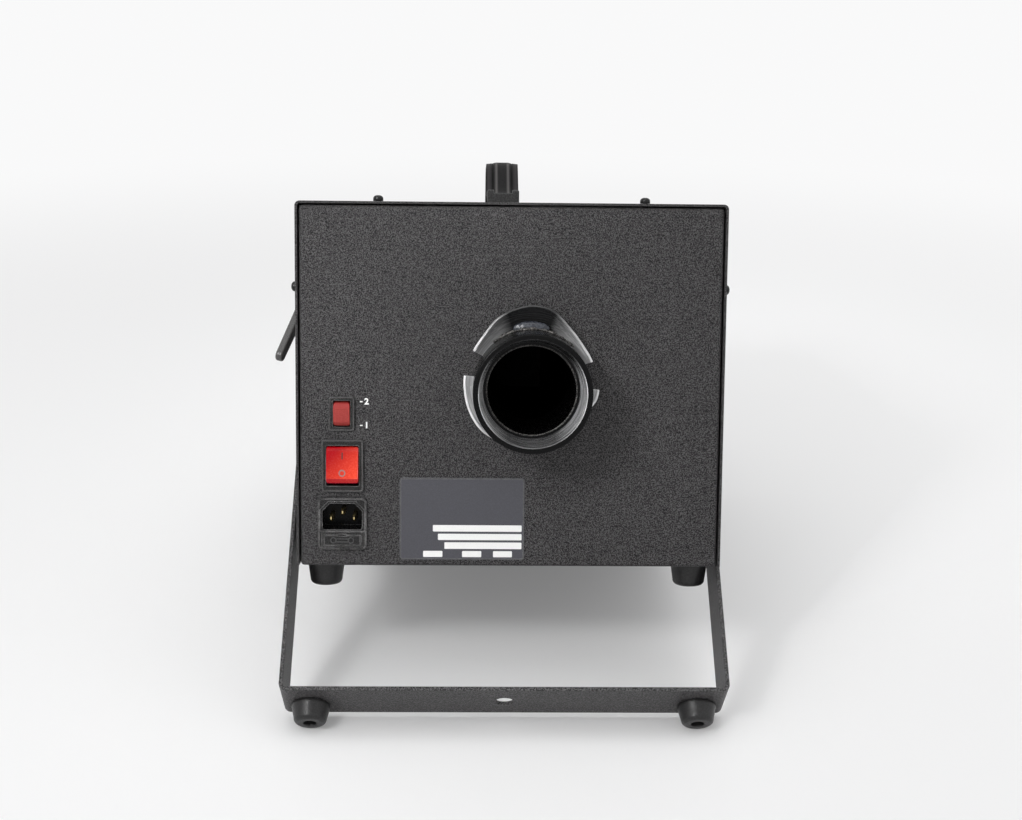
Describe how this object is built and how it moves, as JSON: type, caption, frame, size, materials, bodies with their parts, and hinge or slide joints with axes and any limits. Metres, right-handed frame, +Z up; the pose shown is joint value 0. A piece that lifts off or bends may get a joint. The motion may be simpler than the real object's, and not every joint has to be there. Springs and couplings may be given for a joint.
{
  "type": "confetti blower",
  "caption": "Black sheet-metal confetti blower with a round outlet pipe, rocker switches, a power inlet and a tilting yoke stand.",
  "frame": {"origin": "on the floor under the middle of the machine as it stands on its yoke feet and rear feet", "axes": "+Z up, -Y towards the outlet side, +X to the right of someone who faces the outlet"},
  "size_m": [0.3004, 0.4358, 0.3074],
  "materials": {
    "powder_coat": "fine-textured black powder coat",
    "black_screws": "black oxide",
    "rubber": "dull moulded rubber",
    "gloss_plastic": "smooth moulded black plastic",
    "matte_plastic": "lightly grained black plastic",
    "zinc_steel": "zinc plated",
    "brass": "bright",
    "aluminium": "cast",
    "red_main": "translucent moulded red",
    "red_speed": "moulded brick red",
    "plate": "printed slate grey foil",
    "glass": "clear"
  },
  "bodies": {
    "box": {"air_coupling": "rubber", "base_chassis": "powder_coat", "blower_bracket": "zinc_steel", "blower_case": "aluminium", "box_foot_1": "rubber", "box_foot_1_screw": "zinc_steel", "box_foot_2": "rubber", "box_foot_2_screw": "zinc_steel", "box_foot_3": "rubber", "box_foot_3_screw": "zinc_steel", "box_foot_4": "rubber", "box_foot_4_screw": "zinc_steel", "collar_lower": "matte_plastic", "collar_upper": "matte_plastic", "coupling_clamp_front": "zinc_steel", "coupling_clamp_rear": "zinc_steel", "cover_screw_side_1": "black_screws", "cover_screw_side_2": "black_screws", "cover_screw_side_3": "black_screws", "cover_screw_side_4": "black_screws", "cover_screw_top_1": "black_screws", "cover_screw_top_2": "black_screws", "cover_screw_top_3": "black_screws", "cover_screw_top_4": "black_screws", "handle_end_front": "matte_plastic", "handle_end_rear": "matte_plastic", "handle_strap": "rubber", "inlet_body": "gloss_plastic", "inlet_pin_earth": "brass", "inlet_pin_left": "brass", "inlet_pin_right": "brass", "intake_guard": "black_screws", "isolator_1": "rubber", "isolator_2": "rubber", "isolator_3": "rubber", "main_switch_body": "gloss_plastic", "motor_frame": "aluminium", "outlet_locknut": "gloss_plastic", "outlet_pipe": "gloss_plastic", "pivot_bolt_right": "black_screws", "pivot_nut_left": "zinc_steel", "pivot_nut_right": "zinc_steel", "pivot_spacer_left": "matte_plastic", "pivot_washer_right": "black_screws", "rating_plate": "plate", "speed_switch_body": "gloss_plastic", "top_cover": "powder_coat"},
    "yoke": {"yoke_bar": "powder_coat", "yoke_foot_1": "rubber", "yoke_foot_1_screw": "zinc_steel", "yoke_foot_2": "rubber", "yoke_foot_2_screw": "zinc_steel"},
    "clamp": {"clamp_lever": "matte_plastic", "pivot_stud_left": "zinc_steel"},
    "main_rocker": {"main_switch_rocker": "red_main"},
    "speed_rocker": {"speed_switch_rocker": "red_speed"},
    "fuse_tray": {"fuse_drawer": "gloss_plastic", "fuse_link": "glass"},
    "rotor": {"rotor_shaft": "zinc_steel", "impeller": "aluminium"}
  },
  "joints": [
    {"name": "yoke_tilt", "type": "hinge", "parent": "box", "child": "yoke", "pos_m": [0.00985, 0.0351, 0.20368], "axis": [-1, 0, 0], "range_deg": [-124, 46]},
    {"name": "clamp_turn", "type": "hinge", "parent": "box", "child": "clamp", "pos_m": [-0.12815, 0.0351, 0.20368], "axis": [1, 0, 0], "range_deg": [-60, 180]},
    {"name": "main_rock", "type": "hinge", "parent": "box", "child": "main_rocker", "pos_m": [-0.0919, -0.15185, 0.15068], "axis": [1, 0, 0], "range_deg": [0, 16]},
    {"name": "speed_rock", "type": "hinge", "parent": "box", "child": "speed_rocker", "pos_m": [-0.09235, -0.14537, 0.18182], "axis": [1, 0, 0], "range_deg": [-18, 0]},
    {"name": "fuse_slide", "type": "slide", "parent": "box", "child": "fuse_tray", "axis": [0, -0.9736, 0.2284], "range_m": [0, 0.015]},
    {"name": "rotor_spin", "type": "hinge", "parent": "box", "child": "rotor", "pos_m": [-0.01815, 0.0049, 0.16475], "axis": [0, 0.2284, 0.9736], "continuous": true}
  ]
}
